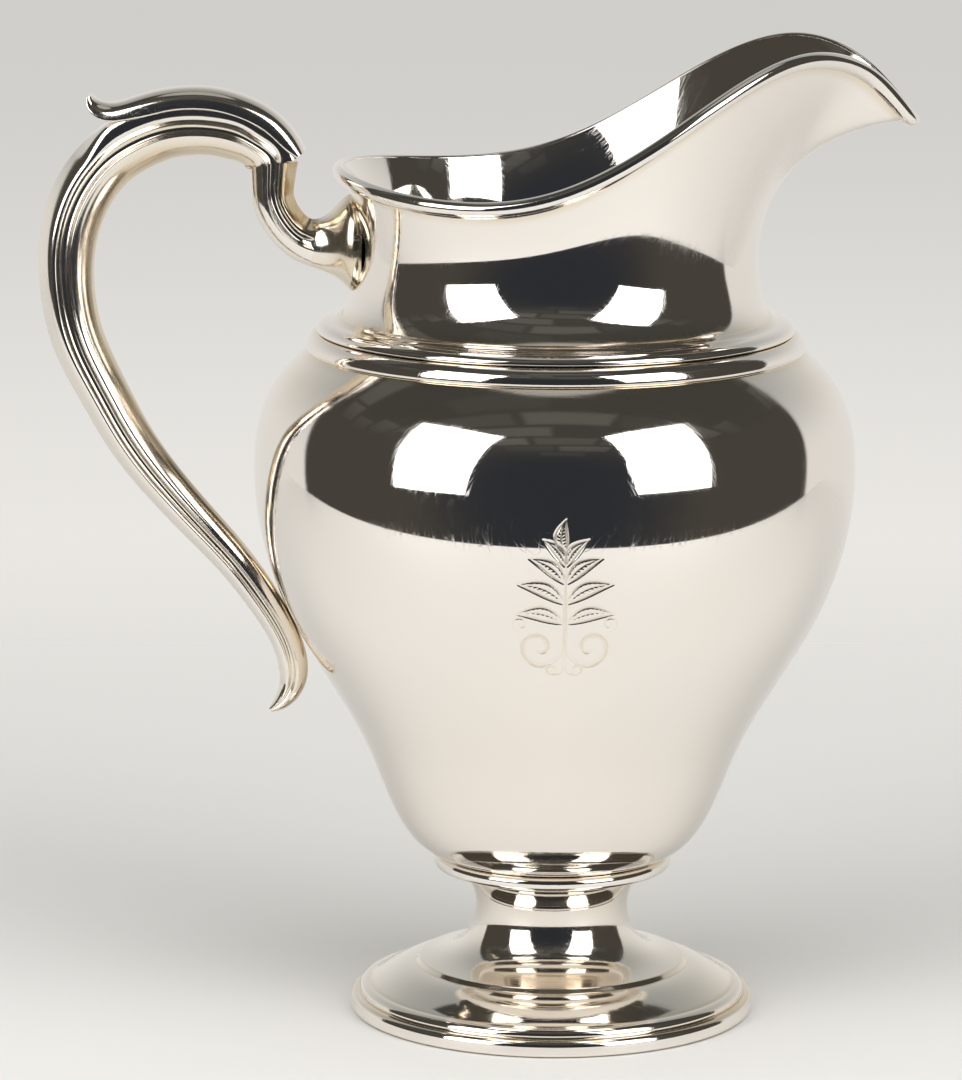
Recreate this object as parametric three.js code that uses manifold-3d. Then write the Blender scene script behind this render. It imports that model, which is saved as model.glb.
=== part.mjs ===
// Silver water pitcher: a baluster body on a stepped pedestal foot, a neck drawn out into a
// drooping spout, and a hollow double-scroll handle.
//
// Millimetres, +Z up. The origin is under the middle of the pitcher's outer box, on the table.
// The spout points to +X and the handle to -X. Every piece is first drawn round the body's axis,
// and the whole group is then moved along X by AXIS_X.

import * as THREE from 'three';
import { mergeVertices } from 'three/addons/utils/BufferGeometryUtils.js';
import Module from 'manifold-3d';

// ---------------------------------------------------------------- driving dimensions

const HANDLE_REACH = 134; // body axis to the back of the handle
const SPOUT_REACH = 95.4; // body axis to the tip of the spout
const AXIS_X = (HANDLE_REACH - SPOUT_REACH) / 2;

const SHEET = 1.1; // gauge of the spun and raised silver
const SEAM = 0.3; // solder line left open between two pieces
const FACETS = 40; // facets round the axis of every spun piece

const FOOT_RADIUS = 53;
const COLLAR_RADIUS = 31.2;
const COLLAR_HEIGHT = 38.2; // underside of the flange between foot and bowl
const SHOULDER_HEIGHT = 177.4; // top edge of the bowl
const NECK_HEIGHT = 184.2; // where the neck rises out of the shoulder moulding
const NECK_RADIUS = 55.6;

// ---------------------------------------------------------------- finishes

const silver = () => new THREE.MeshStandardMaterial({ color: 0xd9d5cd, roughness: 0.12, metalness: 1 });
const warmSilver = () => new THREE.MeshStandardMaterial({ color: 0xd3c9b4, roughness: 0.18, metalness: 1 });

// ---------------------------------------------------------------- helpers

const flat = (rows) => rows.map(([x, y]) => new THREE.Vector2(x, y));

/** Evenly spaced points on a smooth line through a few outline points. */
function smooth(rows, steps) {
  return new THREE.SplineCurve(flat(rows)).getSpacedPoints(steps);
}

/** An open outline moved sideways, to the left of its direction of travel. */
function shifted(points, distance) {
  return points.map((point, i) => {
    const before = points[Math.max(i - 1, 0)];
    const after = points[Math.min(i + 1, points.length - 1)];
    const along = after.clone().sub(before).normalize();
    return new THREE.Vector2(point.x - along.y * distance, point.y + along.x * distance);
  });
}

/** A closed body from a geometry: one vertex per corner, no empty triangles, faces outwards. */
function closedBody(geometry) {
  geometry.deleteAttribute('normal');
  geometry.deleteAttribute('uv');
  const merged = mergeVertices(geometry, 1e-4);
  const position = merged.getAttribute('position');
  const corner = (i) => new THREE.Vector3().fromBufferAttribute(position, i);
  const kept = [];
  let volume = 0;
  for (let i = 0; i < merged.index.count; i += 3) {
    const [a, b, c] = [0, 1, 2].map((k) => merged.index.getX(i + k));
    if (a === b || b === c || c === a) continue;
    kept.push([a, b, c]);
    volume += corner(a).dot(corner(b).cross(corner(c))) / 6;
  }
  const facing = volume < 0 ? kept.map(([a, b, c]) => [a, c, b]) : kept;
  merged.setIndex(facing.flat());
  merged.computeVertexNormals();
  return merged;
}

/** A closed outline of (radius, height) points turned round the Z axis. */
function spun(outline) {
  const turned = new THREE.LatheGeometry([...outline, outline[0]], FACETS);
  return closedBody(turned.rotateX(Math.PI / 2));
}

/** Triangles over a plane outline, wound the way the outline runs. */
function capFaces(outline) {
  const forward = THREE.ShapeUtils.area(outline) > 0;
  return THREE.ShapeUtils.triangulateShape(outline, []).map((face) => {
    const agrees = THREE.ShapeUtils.area(face.map((i) => outline[i])) > 0 === forward;
    return agrees ? face : [face[0], face[2], face[1]];
  });
}

/** Skin over a row of rings. A ringed skin joins its last ring to its first, others get caps. */
function skinned(rings, firstCap, lastCap) {
  const ringed = firstCap === undefined;
  const count = rings[0].length;
  const faces = [];
  const bands = ringed ? rings.length : rings.length - 1;
  for (let i = 0; i < bands; i += 1) {
    const here = i * count;
    const next = ((i + 1) % rings.length) * count;
    for (let j = 0; j < count; j += 1) {
      const k = (j + 1) % count;
      faces.push([here + j, here + k, next + k], [here + j, next + k, next + j]);
    }
  }
  if (!ringed) {
    const last = (rings.length - 1) * count;
    capFaces(firstCap).forEach(([a, b, c]) => faces.push([a, c, b]));
    capFaces(lastCap).forEach(([a, b, c]) => faces.push([last + a, last + b, last + c]));
  }
  const geometry = new THREE.BufferGeometry().setFromPoints(rings.flat());
  geometry.setIndex(faces.flat());
  return closedBody(geometry);
}

/** Rows of [x, z, depth, width, extra] made into smooth stations along a path in the XZ plane,
 *  from one row number to another. A row number may have a fraction. */
function stations(rows, steps, firstRow = 0, lastRow = rows.length - 1) {
  const path = new THREE.CatmullRomCurve3(rows.map(([x, z]) => new THREE.Vector3(x, 0, z)));
  const sizes = new THREE.CatmullRomCurve3(rows.map((row) => new THREE.Vector3(row[2], row[3], row[4] ?? 0)));
  return Array.from({ length: steps + 1 }, (_, i) => {
    const along = THREE.MathUtils.lerp(firstRow, lastRow, i / steps) / (rows.length - 1);
    const out = new THREE.Vector3(0, 1, 0).cross(path.getTangent(along));
    const size = sizes.getPoint(along);
    return { at: path.getPoint(along), out, depth: size.x, width: size.y, extra: size.z };
  });
}

/** A bar whose section, drawn as (outwards, sideways) points, may change from station to station. */
function bar(row, section) {
  const outlines = row.map(section);
  const rings = row.map(({ at, out }, i) => outlines[i].map(
    ({ x, y }) => at.clone().addScaledVector(out, x).setY(y),
  ));
  return skinned(rings, outlines[0], outlines[outlines.length - 1]);
}

const wasm = await Module();
wasm.setup();

/** A closed body handed to the solid modeller. */
function toSolid(geometry) {
  return new wasm.Manifold(new wasm.Mesh({
    numProp: 3,
    vertProperties: new Float32Array(geometry.getAttribute('position').array),
    triVerts: new Uint32Array(geometry.index.array),
  }));
}

/** The first body with the second one's space taken out of it. */
function cut(geometry, tool) {
  const mesh = toSolid(geometry).subtract(toSolid(tool)).getMesh();
  const result = new THREE.BufferGeometry();
  result.setAttribute('position', new THREE.BufferAttribute(mesh.vertProperties, 3));
  result.setIndex(new THREE.BufferAttribute(mesh.triVerts, 1));
  return closedBody(result);
}

// ---------------------------------------------------------------- foot

/** Half-oval wire soldered under the edge of the foot; the pitcher stands on its flat underside. */
function footRimWire() {
  const inner = FOOT_RADIUS - 2.6;
  return spun(flat([
    [inner, 0], [FOOT_RADIUS - 0.3, 0], [FOOT_RADIUS, 0.5], [FOOT_RADIUS, 2.5],
    [FOOT_RADIUS - 0.4, 3.6], [FOOT_RADIUS - 1.3, 4.1], [inner, 4],
  ]));
}

/** Spun pedestal: a flared stem over a dome with two steps, hollow underneath. */
function footPedestal() {
  const brim = flat([[50.1, 1], [50.1, 4.4], [49.1, 5.6], [47.4, 6.5]]);
  const lowerStep = smooth([[46.6, 7.7], [44.4, 9], [40.6, 10.9], [35.7, 12.3]], 4);
  const stem = smooth([
    [34.9, 13.3], [31, 14.1], [27, 15.4], [23.8, 17.6], [21.4, 21], [20.2, 25.2], [20.1, 29.2], [21.2, 33],
    [23.4, 36.2], [26.4, COLLAR_HEIGHT - SEAM],
  ], 10);
  const outside = [...brim, ...lowerStep, ...stem];
  const inside = smooth([
    [25.2, COLLAR_HEIGHT - SEAM], [22, 35.6], [19.8, 32], [18.9, 28.4], [19.2, 24], [20.8, 19.6],
    [23.6, 16], [27.8, 13.8], [34.6, 11.6], [41, 9.1], [46.4, 6.1], [49, 3.3], [49, 1],
  ], 12);
  return spun([...outside, ...inside]);
}

/** Flange with a rounded edge that the bowl is seated on. */
function footCollar() {
  return spun(flat([
    [22.5, COLLAR_HEIGHT], [30.2, COLLAR_HEIGHT], [COLLAR_RADIUS, 39.1], [COLLAR_RADIUS, 40.1],
    [30.6, 40.9], [28.6, 40.9], [22.5, 40.0],
  ]));
}

// ---------------------------------------------------------------- bowl and shoulder

/** Outside of the bowl, from the centre of its bottom to its top edge. */
const BOWL_OUTLINE = [
  [0, 40.4], [16, 40.4], [27, 41.1], [32.6, 42.8], [36.8, 46.4], [40.5, 51.6], [43.6, 58], [46.4, 65],
  [50.2, 73.8], [55.6, 83.4], [62, 94], [68, 104.4], [72.6, 114.6], [75.9, 125.4], [77.8, 136.4],
  [78.2, 146.6], [77.3, 155.4], [75, 162.6], [71.2, 168.8], [66.6, 173.8], [62.4, SHOULDER_HEIGHT],
];

/** Spun baluster shell, open at the shoulder. */
function bodyBowl() {
  const outside = smooth(BOWL_OUTLINE, 20);
  const inside = shifted(outside, SHEET).filter(({ x }) => x > SHEET).reverse();
  inside.push(new THREE.Vector2(0, BOWL_OUTLINE[0][1] + SHEET));
  return spun([...outside, ...inside]);
}

/** Lower bead of the moulding that hides the seam between bowl and neck. */
function shoulderBead() {
  return spun(flat([
    [60.6, 178.6], [62.9, 177.5], [64.3, 176.2], [64.9, 176.9], [64.7, 178], [64.1, 179.1],
    [63.2, 180], [62, 180.4], [60.3, 180.4],
  ]));
}

/** Upper, flatter step of the same moulding. */
function shoulderStep() {
  return spun(flat([
    [59.2, 180.7], [61.5, 180.7], [62.1, 181.3], [61.7, 182.4], [60.6, 183.1], [58.8, 183.6],
    [57.1, 184.1], [57.5, 183.2],
  ]));
}

// ---------------------------------------------------------------- neck and spout

// Four closed guide lines shape the neck: the seam circle, two lines that steer its waist, and the
// rim. Each row is one station, from the handle side round to the spout:
// [angle round the axis, waist guide radius, waist guide height, upper guide x y z, rim x y z]
const NECK_STATIONS = [
  [180, 48.6, 197.6, -51, 0, 213, -56.6, 0, 223.3],
  [157, 47.5, 193.4, -42.6, 23.3, 208.8, -49, 27.1, 221.8],
  [134, 47.1, 191.4, -28.9, 35.9, 204.3, -34, 42.7, 219.9],
  [111, 46.9, 191.4, -12.7, 42.6, 201.9, -15, 50.8, 219.8],
  [91, 46.1, 192, 3, 43.9, 202, 3, 52.2, 224.1],
  [73, 44.8, 192.5, 17.1, 43, 204.4, 20.9, 50.5, 233.1],
  [56, 43.9, 192.4, 31, 38.6, 209.3, 38.9, 44.3, 244.7],
  [40, 44.2, 193.2, 42.4, 30, 215.6, 55.9, 32.4, 253.4],
  [27, 45.1, 195.2, 48.2, 21.2, 222.8, 68.9, 21.4, 254.4],
  [16, 46.5, 197.6, 50.8, 12.9, 228.4, 78.9, 11.1, 250.4],
  [7.5, 47.7, 199.3, 51, 6.4, 231.6, 86.9, 5.3, 243.3],
];
const NECK_TIP = [0, 48, 200, 50, 0, 232, 93.3, 0, 235.1];

/** A closed line through one point per station, mirrored to the far side of the pitcher. */
function guideLine(pointOf) {
  const near = NECK_STATIONS.map(pointOf);
  const far = near.slice(1).reverse().map((point) => point.clone().multiply(new THREE.Vector3(1, -1, 1)));
  return new THREE.CatmullRomCurve3([...near, pointOf(NECK_TIP), ...far], true);
}

const onCircle = (degrees, radius, height) => {
  const angle = THREE.MathUtils.degToRad(degrees);
  return new THREE.Vector3(radius * Math.cos(angle), radius * Math.sin(angle), height);
};

const neckGuides = [
  guideLine(([angle]) => onCircle(angle, NECK_RADIUS, NECK_HEIGHT)),
  guideLine(([angle, radius, height]) => onCircle(angle, radius, height)),
  guideLine((row) => new THREE.Vector3(...row.slice(3, 6))),
  guideLine((row) => new THREE.Vector3(...row.slice(6, 9))),
];

/** Point of the neck's outer face: u runs round it, v runs from the seam (0) to the rim (1). */
function neckPoint(u, v) {
  const [a, b, c, d] = neckGuides.map((guide) => guide.getPoint(u - Math.floor(u)));
  return new THREE.CubicBezierCurve3(a, b, c, d).getPoint(v);
}

/** The neck's outer face at (u, v), with its outward normal and its direction towards the rim. */
function neckFrame(u, v) {
  const step = 1e-3;
  const up = neckPoint(u, Math.min(v + step, 1)).sub(neckPoint(u, Math.max(v - step, 0))).normalize();
  const round = neckPoint(u + step, v).sub(neckPoint(u - step, v)).normalize();
  return { at: neckPoint(u, v), up, normal: up.clone().cross(round).normalize() };
}

const NECK_AROUND = 48;
const neckTurns = Array.from({ length: NECK_AROUND }, (_, i) => i / NECK_AROUND);

/** Hidden skirt of the neck, under the shoulder moulding, as (radius, height). */
const NECK_SKIRT = [[59.6, 177.4], [57.4, 180.8]];

/** Where the neck's facets break between seam and rim; they crowd towards the curled rim. */
const NECK_BREAKS = Array.from({ length: 10 }, (_, i) => 1 - (1 - i / 9) ** 1.35);

/** The neck's outer face, moved out by a distance, along one line from its skirt to the rim. */
function neckLine(u, distance) {
  const seam = neckPoint(u, 0);
  const degrees = THREE.MathUtils.radToDeg(Math.atan2(seam.y, seam.x));
  const skirt = NECK_SKIRT.map(([radius, height]) => onCircle(degrees, radius + distance, height));
  const face = NECK_BREAKS.map((v) => {
    const { at, normal } = neckFrame(u, v);
    return at.addScaledVector(normal, distance);
  });
  return [...skirt, ...face];
}

/** Raised neck sheet with its drawn-out spout. */
function bodyNeck() {
  return skinned(neckTurns.map((u) => [...neckLine(u, 0), ...neckLine(u, -SHEET).reverse()]));
}

/** The space that the neck fills, grown by a distance, with no hollow in it. */
function neckEnvelope(distance) {
  const lines = neckTurns.map((u) => neckLine(u, distance));
  const levels = lines[0].map((_, level) => lines.map((line) => line[level]));
  const plan = (ring) => ring.map(({ x, y }) => new THREE.Vector2(x, y));
  return skinned(levels, plan(levels[0]), plan(levels[levels.length - 1]));
}

/** Half-oval wire along the rim: each row is [distance below the rim, distance off the sheet]. */
const RIM_WIRE = [
  [3.8, SEAM], [3.6, 1.1], [2.6, 1.75], [1.2, 2], [0, 1.7], [-0.5, 1], [-0.5, SEAM],
];

function rimWire() {
  return skinned(neckTurns.map((u) => {
    const length = new THREE.CubicBezierCurve3(...neckGuides.map((guide) => guide.getPoint(u))).getLength();
    return RIM_WIRE.map(([below, off]) => {
      const { at, up, normal } = neckFrame(u, Math.min(1 - below / length, 1));
      return at.addScaledVector(normal, off).addScaledVector(up, Math.max(-below, 0));
    });
  }));
}

// ---------------------------------------------------------------- handle

// Main scroll, from under the front of the cap, over the arch, down to the bowl and out again in
// a curled tail: [x, z, depth in the plane of the handle, width across it, how flat its back is]
const SCROLL = [
  [-73.4, 224.1, 14.1, 13.4, 0.4],
  [-73.8, 225.5, 13.9, 13.6, 0.4],
  [-77.2, 228.6, 12.6, 13.8, 0.5],
  [-81.2, 230.9, 13.8, 14.2, 1],
  [-86.1, 232.4, 14.2, 14.5, 1],
  [-92, 233, 14.5, 14.6, 1],
  [-99.2, 232.5, 14.9, 14.6, 1],
  [-107.2, 229.9, 15.5, 14.6, 0.6],
  [-114.8, 225.2, 15.5, 14.6],
  [-120.6, 218.6, 15.5, 14.6],
  [-124.7, 210, 15.3, 14.4],
  [-126.6, 200, 14.8, 14.2],
  [-126.3, 189.4, 14.2, 14],
  [-123.8, 177.8, 13.8, 13.6],
  [-118.4, 166, 13.1, 13],
  [-111.6, 153.4, 12.4, 12.2],
  [-102.4, 140.6, 11.4, 11.2],
  [-92, 128.8, 10.4, 10.2],
  [-81.8, 117.2, 9.5, 9.2],
  [-74.3, 106.4, 8.6, 8.4],
  [-69.9, 98, 8, 7.8],
  [-68.2, 91.6, 7.7, 7.2],
  [-68.3, 87.2, 6.9, 6.4],
  [-69.9, 83.4, 5.4, 5.6],
  [-72.2, 80.8, 3.4, 4.6],
  [-74.2, 79.6, 1.4, 3],
];
const TAIL_ROW = 21; // where the hollow scroll ends and the solid tail starts

// S-shaped branch from under the cap to the neck, with the trumpet that spreads it out over the
// neck, in the same four columns.
const STEM = [
  [-73, 226.6, 13.6, 12],
  [-73.2, 222.8, 12.6, 11.2],
  [-73.3, 219.8, 11.9, 10.6],
  [-73.3, 215.2, 11.2, 10.4],
  [-71.8, 210.8, 11, 10.2],
  [-69.2, 207, 11, 10.2],
  [-65.8, 204.2, 11.6, 10.8],
  [-62.2, 203, 13.2, 12.2],
  [-58.6, 202.8, 16.2, 15.2],
  [-56, 202.9, 20, 19],
  [-54.4, 203, 23.6, 22.4],
  [-53.4, 203, 25.4, 24],
  [-50, 203, 25.6, 24.2],
];
const FLANGE_ROW = 7; // where the hollow branch ends and the solid trumpet starts

// Strap over the arch, ending in a thumb rest: [x, z, thickness, width, how far its edges hang down]
const CAP = [
  [-65.4, 226.9, 1.6, 13.4, 1],
  [-67.1, 229.8, 2, 14, 1.2],
  [-70.9, 234.3, 2.3, 14.6, 1.3],
  [-75.9, 237.9, 2.5, 14.8, 1.3],
  [-81.7, 240.4, 2.6, 15, 1.3],
  [-87.7, 241.9, 2.6, 15, 1.3],
  [-93.7, 242.3, 2.6, 15, 1.3],
  [-99.8, 241.8, 2.6, 15, 1.3],
  [-106, 240.4, 2.6, 14.8, 1.3],
  [-112.2, 238.3, 2.9, 13.6, 1],
  [-116.6, 237.6, 3.8, 11.6, 0.3],
  [-119.2, 239, 3.1, 9.8, 0],
  [-119.9, 241.2, 1.5, 8.2, 0],
];

/** One side of the handle's moulded outline, from its back to its inner face, as fractions of
 *  depth and width: a bevelled bead, a groove, a fine ridge and a bevelled inner side. */
const MOULDED_SIDE = [
  [0.5, 0], [0.48, 0.11], [0.42, 0.225], [0.34, 0.345], [0.25, 0.425], [0.19, 0.445], [0.14, 0.4],
  [0.09, 0.345], [0.01, 0.325], [-0.05, 0.355], [-0.075, 0.44], [-0.12, 0.46], [-0.2, 0.43],
  [-0.29, 0.365], [-0.4, 0.25], [-0.47, 0.13], [-0.5, 0],
];

/** The same side under the cap, where the back is flat and carries the strap. */
const BEDDED_SIDE = [
  [0.5, 0], [0.5, 0.17], [0.49, 0.32], [0.42, 0.435], [0.32, 0.46], [0.2, 0.44],
  ...MOULDED_SIDE.slice(6),
];

/** The same side where the moulding has died out into a plain oval. */
const PLAIN_SIDE = MOULDED_SIDE.map(
  ([across]) => [across, 0.48 * Math.sqrt(Math.max(1 - 4 * across * across, 0))],
);

/** Half of a hollow bar's section: outside, then hollow, both kept off the seam at its middle. */
function halfSection(side, moulding) {
  return ({ depth, width, extra }) => {
    const outside = MOULDED_SIDE.map(([across, half], i) => {
      const [flatAcross, flatHalf] = BEDDED_SIDE[i];
      const moulded = THREE.MathUtils.lerp(half, flatHalf, extra);
      return new THREE.Vector2(
        depth * THREE.MathUtils.lerp(across, flatAcross, extra),
        Math.max(width * THREE.MathUtils.lerp(PLAIN_SIDE[i][1], moulded, moulding), SEAM / 2),
      );
    });
    const hollow = Array.from({ length: 7 }, (_, i) => {
      const angle = Math.PI * (1 - i / 6);
      return new THREE.Vector2(
        (depth / 2 - 1.4) * Math.cos(angle),
        Math.max((width * 0.31 - 1) * Math.sin(angle), SEAM / 2),
      );
    });
    return [...outside, ...hollow].map(({ x, y }) => new THREE.Vector2(x, y * side));
  };
}

/** Section of a solid bar with the plain oval outline. */
function wholeSection({ depth, width }) {
  const half = PLAIN_SIDE.map(([across, out]) => new THREE.Vector2(across * depth, out * width));
  const other = half.slice(1, -1).reverse().map(({ x, y }) => new THREE.Vector2(x, -y));
  return [...half, ...other];
}

/** Section of the cap strap: rounded on top, with edges that hang down over the scroll's back. */
function capSection({ depth, width, extra }) {
  const half = [
    [0.5, 0, 0], [0.46, 0.26, 0], [0.2, 0.43, 0.25], [-0.25, 0.5, 0.75], [-0.5, 0.47, 1], [-0.5, 0.3, 0.35],
    [-0.5, 0, 0],
  ].map(([across, side, hang]) => new THREE.Vector2(across * depth - hang * extra, side * width));
  const other = half.slice(1, -1).reverse().map(({ x, y }) => new THREE.Vector2(x, -y));
  return [...half, ...other];
}

const JOINT_GAP = 0.1; // solder line between two pieces of one path, in rows
const STEM_GAP = 0.75; // from the plane that the scroll ends on to the end of the branch
const TRIM_BLOCK = 30; // wider than the section that it trims

const handleHalf = (side) => bar(stations(SCROLL, 32, 0, TAIL_ROW), halfSection(side, 1));
const handleTail = () => bar(stations(SCROLL, 8, TAIL_ROW + JOINT_GAP), wholeSection);
const handleCap = () => bar(stations(CAP, 20), capSection);

/** One side of the branch, trimmed to the plane that the scroll ends on. */
function stemHalf(side) {
  const [{ at, out }] = stations(SCROLL, 1);
  const across = new THREE.Vector3(0, 1, 0);
  const along = out.clone().cross(across);
  const placed = new THREE.Matrix4().makeBasis(out, across, along);
  placed.setPosition(at.addScaledVector(along, TRIM_BLOCK / 2 - STEM_GAP));
  const cube = new THREE.BoxGeometry(TRIM_BLOCK, TRIM_BLOCK, TRIM_BLOCK);
  const block = closedBody(cube.applyMatrix4(placed));
  return cut(bar(stations(STEM, 12, 0, FLANGE_ROW), halfSection(side, 0.5)), block);
}

function handleFlange() {
  const trumpet = bar(stations(STEM, 10, FLANGE_ROW + JOINT_GAP), wholeSection);
  return cut(trumpet, neckEnvelope(SEAM));
}

// ---------------------------------------------------------------- assembly

const pitcher = new THREE.Group();
pitcher.position.x = AXIS_X;

function add(name, geometry, material) {
  const mesh = new THREE.Mesh(geometry, material);
  mesh.name = name;
  pitcher.add(mesh);
}

add('foot_rim_wire', footRimWire(), silver());
add('foot_pedestal', footPedestal(), silver());
add('foot_collar', footCollar(), silver());
add('body_bowl', bodyBowl(), silver());
add('shoulder_bead', shoulderBead(), silver());
add('shoulder_step', shoulderStep(), silver());
add('body_neck', bodyNeck(), silver());
add('rim_wire', rimWire(), silver());
add('handle_scroll_front', handleHalf(-1), warmSilver());
add('handle_scroll_back', handleHalf(1), warmSilver());
add('handle_tail', handleTail(), warmSilver());
add('handle_stem_front', stemHalf(-1), warmSilver());
add('handle_stem_back', stemHalf(1), warmSilver());
add('handle_flange', handleFlange(), warmSilver());
add('handle_cap', handleCap(), silver());

export default pitcher;
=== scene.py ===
"""Silver water pitcher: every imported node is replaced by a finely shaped, polished piece of the same
size and place. Lengths in the tables are millimetres, measured from the body's axis and the table."""
import math

import bmesh
import bpy
import numpy as np
from mathutils import Matrix, Vector


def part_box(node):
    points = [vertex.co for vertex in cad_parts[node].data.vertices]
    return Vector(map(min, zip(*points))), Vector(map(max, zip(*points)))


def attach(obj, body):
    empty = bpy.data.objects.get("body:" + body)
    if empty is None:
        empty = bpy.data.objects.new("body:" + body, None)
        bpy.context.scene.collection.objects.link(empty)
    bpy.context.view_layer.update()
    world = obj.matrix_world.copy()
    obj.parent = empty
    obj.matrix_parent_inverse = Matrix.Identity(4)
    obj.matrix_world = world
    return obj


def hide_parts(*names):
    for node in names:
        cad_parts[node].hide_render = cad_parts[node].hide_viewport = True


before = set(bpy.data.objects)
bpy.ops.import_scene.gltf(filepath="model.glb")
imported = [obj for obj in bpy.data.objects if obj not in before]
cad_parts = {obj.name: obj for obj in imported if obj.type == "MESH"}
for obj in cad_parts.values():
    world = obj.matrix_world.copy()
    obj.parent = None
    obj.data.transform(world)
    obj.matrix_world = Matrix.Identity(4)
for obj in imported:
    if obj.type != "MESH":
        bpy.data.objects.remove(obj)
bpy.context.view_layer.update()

# ---------------------------------------------------------------- driving dimensions

MM = 0.001
foot_low, foot_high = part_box("foot_rim_wire")
AXIS_X = (foot_low.x + foot_high.x) / 2
FOOT_RADIUS = (foot_high.x - foot_low.x) / 2 / MM
SHEET = 1.1  # gauge of the silver
TURNS = 240  # facets round the axis of a spun piece

# Outside of the bowl as (radius, height), from its bottom to its top edge.
BOWL = [
    (16, 40.4), (27, 41.1), (32.6, 42.8), (36.8, 46.4), (40.5, 51.6), (43.6, 58), (46.4, 65),
    (50.2, 73.8), (55.6, 83.4), (62, 94), (68, 104.4), (72.6, 114.6), (75.9, 125.4), (77.8, 136.4),
    (78.2, 146.6), (77.3, 155.4), (75, 162.6), (71.2, 168.8), (66.6, 173.8), (62.4, 177.4),
]

# Guide lines of the neck, one row per station from the handle side round to the spout:
# (angle round the axis, waist radius, waist height, upper guide x y z, rim x y z)
NECK = [
    (180, 48.6, 197.6, -51, 0, 213, -56.6, 0, 223.3),
    (157, 47.5, 193.4, -42.6, 23.3, 208.8, -49, 27.1, 221.8),
    (134, 47.1, 191.4, -28.9, 35.9, 204.3, -34, 42.7, 219.9),
    (111, 46.9, 191.4, -12.7, 42.6, 201.9, -15, 50.8, 219.8),
    (91, 46.1, 192, 3, 43.9, 202, 3, 52.2, 224.1),
    (73, 44.8, 192.5, 17.1, 43, 204.4, 20.9, 50.5, 233.1),
    (56, 43.9, 192.4, 31, 38.6, 209.3, 38.9, 44.3, 244.7),
    (40, 44.2, 193.2, 42.4, 30, 215.6, 55.9, 32.4, 253.4),
    (27, 45.1, 195.2, 48.2, 21.2, 222.8, 68.9, 21.4, 254.4),
    (16, 46.5, 197.6, 50.8, 12.9, 228.4, 78.9, 11.1, 250.4),
    (7.5, 47.7, 199.3, 51, 6.4, 231.6, 86.9, 5.3, 243.3),
    (0, 48, 200, 50, 0, 232, 93.3, 0, 235.1),
]
NECK_RADIUS = 55.6
NECK_HEIGHT = 184.2

# Centre line and section of the handle's main scroll: (x, z, depth, width).
SCROLL = [
    (-73.4, 224.1, 14.1, 13.4), (-73.8, 225.5, 13.9, 13.6), (-77.2, 228.6, 12.6, 13.8),
    (-81.2, 230.9, 13.8, 14.2), (-86.1, 232.4, 14.2, 14.5), (-92, 233, 14.5, 14.6),
    (-99.2, 232.5, 14.9, 14.6), (-107.2, 229.9, 15.5, 14.6), (-114.8, 225.2, 15.5, 14.6),
    (-120.6, 218.6, 15.5, 14.6), (-124.7, 210, 15.3, 14.4), (-126.6, 200, 14.8, 14.2),
    (-126.3, 189.4, 14.2, 14), (-123.8, 177.8, 13.8, 13.6), (-118.4, 166, 13.1, 13),
    (-111.6, 153.4, 12.4, 12.2), (-102.4, 140.6, 11.4, 11.2), (-92, 128.8, 10.4, 10.2),
    (-81.8, 117.2, 9.5, 9.2), (-74.3, 106.4, 8.6, 8.4), (-69.9, 98, 8, 7.8),
    (-68.2, 91.6, 7.7, 7.2), (-68.3, 87.2, 6.9, 6.4), (-69.9, 83.4, 5.4, 5.6),
    (-72.2, 80.8, 3.4, 4.6), (-74.2, 79.6, 1.4, 3),
]
TAIL_ROW = 21

# The branch from under the cap to the neck, and the trumpet that ends it, in the same columns.
STEM = [
    (-73, 226.6, 13.6, 12), (-73.2, 222.8, 12.6, 11.2), (-73.3, 219.8, 11.9, 10.6),
    (-73.3, 215.2, 11.2, 10.4), (-71.8, 210.8, 11, 10.2), (-69.2, 207, 11, 10.2),
    (-65.8, 204.2, 11.6, 10.8), (-62.2, 203, 13.2, 12.2), (-58.6, 202.8, 16.2, 15.2),
    (-56, 202.9, 20, 19), (-54.4, 203, 23.6, 22.4), (-53.4, 203, 25.4, 24), (-50, 203, 25.6, 24.2),
]
FLANGE_ROW = 7

# Strap over the arch: (x, z, thickness, width, how far its edges hang down).
CAP = [
    (-65.4, 226.9, 1.6, 13.4, 1), (-67.1, 229.8, 2, 14, 2.2), (-70.9, 234.3, 2.3, 14.6, 2.6),
    (-75.9, 237.9, 2.5, 14.8, 2.6), (-81.7, 240.4, 2.6, 15, 2.6), (-87.7, 241.9, 2.6, 15, 2.6),
    (-93.7, 242.3, 2.6, 15, 2.6), (-99.8, 241.8, 2.6, 15, 2.6), (-106, 240.4, 2.6, 14.8, 2.6),
    (-112.2, 238.3, 2.9, 13.6, 1.7), (-116.6, 237.6, 3.8, 11.6, 0.3), (-119.2, 239, 3.1, 9.8, 0),
    (-119.9, 241.2, 1.5, 8.2, 0),
]

# One side of the handle's moulded section as (fraction of depth, fraction of width), from its back
# to its inner face: a broad bevelled bead, a groove, a fine ridge and a bevelled inner side.
MOULDED = [
    (0.5, 0), (0.5, 0.04), (0.45, 0.13), (0.395, 0.23), (0.335, 0.33), (0.28, 0.41), (0.23, 0.45),
    (0.175, 0.46), (0.14, 0.43), (0.115, 0.38), (0.075, 0.34), (0.01, 0.325), (-0.045, 0.35),
    (-0.07, 0.4), (-0.08, 0.45), (-0.105, 0.465), (-0.13, 0.45), (-0.2, 0.43), (-0.29, 0.365),
    (-0.38, 0.275), (-0.455, 0.165), (-0.5, 0.06), (-0.5, 0),
]
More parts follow.
